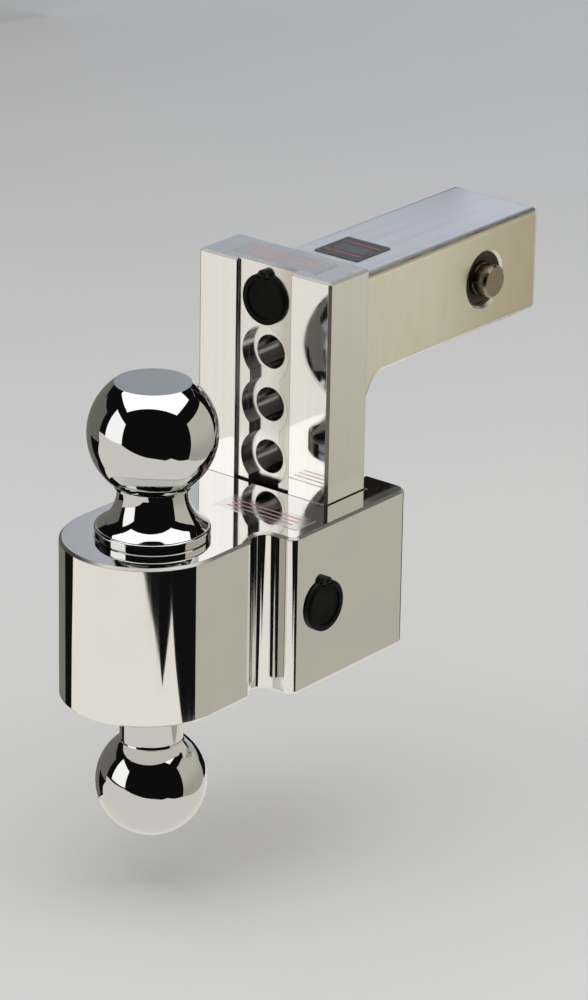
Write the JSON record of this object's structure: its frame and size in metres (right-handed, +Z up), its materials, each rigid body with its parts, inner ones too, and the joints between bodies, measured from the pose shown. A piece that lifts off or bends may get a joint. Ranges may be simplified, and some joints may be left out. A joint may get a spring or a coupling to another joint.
{
  "type": "adjustable trailer hitch",
  "caption": "Height-adjustable trailer hitch: a head with a coupler ball above and below slides on a drilled column, key locks driving its pins.",
  "frame": {"origin": "centre of the upper, larger coupler ball", "axes": "+X from the balls towards the receiver, +Z up out of the larger ball, +Y to the left seen from behind the vehicle"},
  "size_m": [0.294, 0.1074, 0.2508],
  "materials": {
    "shank_aluminium": "satin and polished aluminium",
    "head_aluminium": "polished aluminium",
    "chrome": "polished",
    "lock_zinc": "plated zinc",
    "lock_brass": "satin",
    "black_plastic": "fine grain",
    "black_rubber": "matte",
    "pin_stainless": "ground",
    "bush_steel": "dark, ground",
    "bearing_bronze": "sintered",
    "drive_steel": "zinc plated",
    "screw_steel": "black oxide",
    "badge_foil": "printed foil",
    "clear_label": "thin film"
  },
  "bodies": {
    "drawbar": {"drawbar": "shank_aluminium", "receiver_lock_housing": "lock_zinc", "receiver_lock_bezel": "black_plastic", "receiver_cap_hinge_pin": "drive_steel", "receiver_lock_ring": "black_rubber", "receiver_lock_set_screw": "screw_steel", "rod_bearing": "bearing_bronze", "pin_bush_right": "bush_steel", "pin_bush_left": "bush_steel", "wiper_seal_right": "black_rubber", "wiper_seal_left": "black_rubber", "end_cover": "shank_aluminium", "cover_screws": "screw_steel", "idler_pivot": "drive_steel", "badge": "badge_foil", "column_label": "clear_label"},
    "receiver_lock": {"receiver_lock_plug": "lock_brass", "drive_rod": "drive_steel", "drive_crank": "drive_steel"},
    "receiver_cap": {"receiver_dust_cap": "black_rubber"},
    "right_pin": {"hitch_pin_right": "pin_stainless", "yoke_right": "drive_steel", "roll_pin_right": "drive_steel"},
    "left_pin": {"hitch_pin_left": "pin_stainless", "yoke_left": "drive_steel", "roll_pin_left": "drive_steel"},
    "idler": {"idler_disc": "drive_steel"},
    "ball_head": {"head_block": "head_aluminium", "ball_large": "chrome", "ball_small": "chrome", "head_lock_housing": "lock_zinc", "head_lock_bezel": "black_plastic", "head_cap_hinge_pin": "drive_steel", "head_lock_ring": "black_rubber", "head_lock_set_screw": "screw_steel", "head_pin_bush": "bearing_bronze", "head_label": "clear_label"},
    "head_lock": {"head_lock_plug": "lock_brass", "head_lock_shaft": "drive_steel"},
    "head_cap": {"head_dust_cap": "black_rubber"},
    "height_pin": {"head_pin": "pin_stainless"}
  },
  "joints": [
    {"name": "receiver_lock_turn", "type": "hinge", "parent": "drawbar", "child": "receiver_lock", "pos_m": [0.0779, 0, 0.042], "axis": [1, 0, 0], "range_deg": [0, 90]},
    {"name": "right_pin_slide", "type": "slide", "parent": "drawbar", "child": "right_pin", "axis": [0, 1, 0], "range_m": [0, 0.0065]},
    {"name": "left_pin_slide", "type": "slide", "parent": "drawbar", "child": "left_pin", "axis": [0, -1, 0], "range_m": [0, 0.0065]},
    {"name": "idler_turn", "type": "hinge", "parent": "drawbar", "child": "idler", "pos_m": [0.22, 0, 0.0231], "axis": [1, 0, 0], "range_deg": [-90, 0]},
    {"name": "receiver_cap_flip", "type": "hinge", "parent": "drawbar", "child": "receiver_cap", "pos_m": [0.07665, 0, 0.0534], "axis": [0, 1, 0], "range_deg": [0, 95]},
    {"name": "head_height", "type": "slide", "parent": "drawbar", "child": "ball_head", "axis": [0, 0, 1], "range_m": [-0.0254, 0.0762]},
    {"name": "head_lock_turn", "type": "hinge", "parent": "ball_head", "child": "head_lock", "pos_m": [0.057, -0.0525, -0.0861], "axis": [0, 1, 0], "range_deg": [0, 90]},
    {"name": "height_pin_slide", "type": "slide", "parent": "ball_head", "child": "height_pin", "axis": [1, 0, 0], "range_m": [0, 0.00848]},
    {"name": "head_cap_flip", "type": "hinge", "parent": "ball_head", "child": "head_cap", "pos_m": [0.057, -0.05375, -0.0747], "axis": [1, 0, 0], "range_deg": [-95, 0]}
  ],
  "couplings": [
    {"joint": "receiver_lock_turn", "follows": "right_pin_slide", "rad_per_m": 241.66},
    {"joint": "left_pin_slide", "follows": "right_pin_slide", "ratio": 1},
    {"joint": "idler_turn", "follows": "right_pin_slide", "rad_per_m": -241.66},
    {"joint": "head_lock_turn", "follows": "height_pin_slide", "rad_per_m": 185.12}
  ]
}
